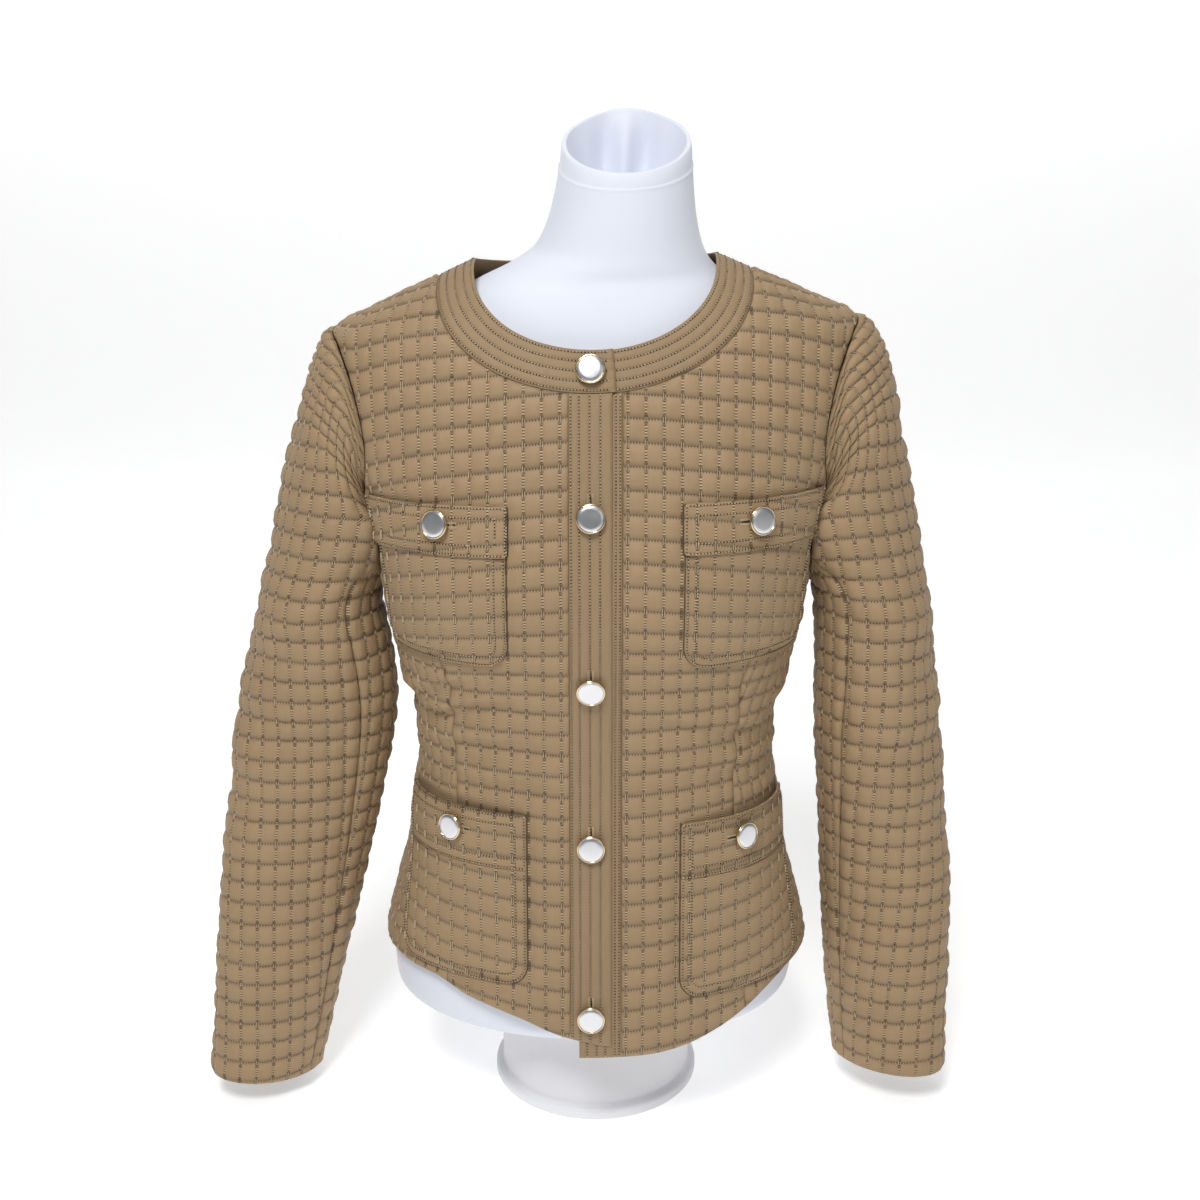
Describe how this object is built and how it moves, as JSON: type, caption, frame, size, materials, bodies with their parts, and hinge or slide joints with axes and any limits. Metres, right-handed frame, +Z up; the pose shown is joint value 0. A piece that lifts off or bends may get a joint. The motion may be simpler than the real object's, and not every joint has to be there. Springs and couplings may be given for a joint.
{
  "type": "quilted jacket on a dress form",
  "caption": "Collarless quilted jacket with buttoned front, patch pockets and long sleeves, closed over a white dress form without limbs.",
  "frame": {"origin": "middle of the plinth's flat underside, on the surface that it stands on", "axes": "+Z up, -Y to the front of the jacket, +X to the wearer's left"},
  "size_m": [0.5876, 0.2489, 0.7565],
  "materials": {
    "quilted_cloth": "light brown quilted cloth, slightly satin, with tonal stitching",
    "plain_cloth": "the same light brown cloth, unquilted, in rows of topstitching",
    "button_rim": "polished pale gold metal",
    "button_face": "flat grey metal face, satin",
    "jersey": "white stretch jersey over a smooth form",
    "plinth": "matt white"
  },
  "bodies": {
    "root": {"front_right": "quilted_cloth", "side_right": "quilted_cloth", "sleeve_top_right": "quilted_cloth", "sleeve_under_right": "quilted_cloth", "front_left": "quilted_cloth", "side_left": "quilted_cloth", "sleeve_top_left": "quilted_cloth", "sleeve_under_left": "quilted_cloth", "back": "quilted_cloth", "placket_over": "plain_cloth", "placket_under": "plain_cloth", "neck_band": "plain_cloth", "pocket_chest_right": "quilted_cloth", "flap_chest_right": "quilted_cloth", "pocket_chest_left": "quilted_cloth", "flap_chest_left": "quilted_cloth", "pocket_hip_right": "quilted_cloth", "band_hip_right": "quilted_cloth", "pocket_hip_left": "quilted_cloth", "band_hip_left": "quilted_cloth", "button_front_1_cup": "button_rim", "button_front_1_inlay": "button_face", "button_front_2_cup": "button_rim", "button_front_2_inlay": "button_face", "button_front_3_cup": "button_rim", "button_front_3_inlay": "button_face", "button_front_4_cup": "button_rim", "button_front_4_inlay": "button_face", "button_front_5_cup": "button_rim", "button_front_5_inlay": "button_face", "button_chest_right_cup": "button_rim", "button_chest_right_inlay": "button_face", "button_chest_left_cup": "button_rim", "button_chest_left_inlay": "button_face", "button_hip_right_cup": "button_rim", "button_hip_right_inlay": "button_face", "button_hip_left_cup": "button_rim", "button_hip_left_inlay": "button_face", "dress_form": "jersey", "plinth": "plinth"}
  },
  "joints": []
}
